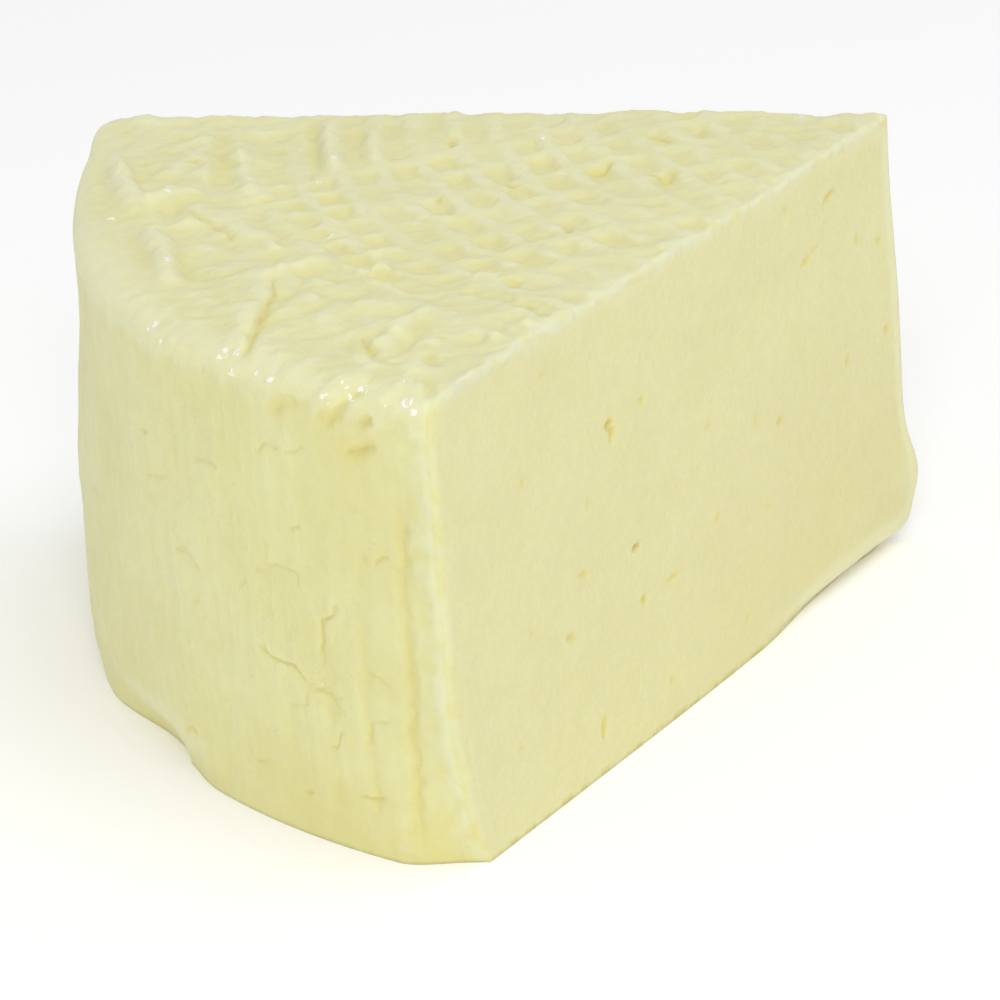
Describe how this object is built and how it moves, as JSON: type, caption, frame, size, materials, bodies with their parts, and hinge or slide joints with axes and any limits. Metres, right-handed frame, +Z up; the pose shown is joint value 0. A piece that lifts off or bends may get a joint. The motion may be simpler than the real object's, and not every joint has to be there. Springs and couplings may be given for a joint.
{
  "type": "panela cheese wedge",
  "caption": "Wedge of fresh pressed white cheese with a curved moulded rim, flat knife-cut faces and a woven mat's imprint on top; rests on its flat base.",
  "frame": {"origin": "bottom centre of the bounding box, on the plane of the flat base", "axes": "+Z up; the wedge's point is towards +X and its curved rim towards -X; the front knife cut faces -Y"},
  "size_m": [0.1262, 0.1414, 0.0673],
  "materials": {
    "fresh_cheese": "moist pale cream curd, soft sheen"
  },
  "bodies": {
    "root": {"cheese_wedge": "fresh_cheese"}
  },
  "joints": []
}
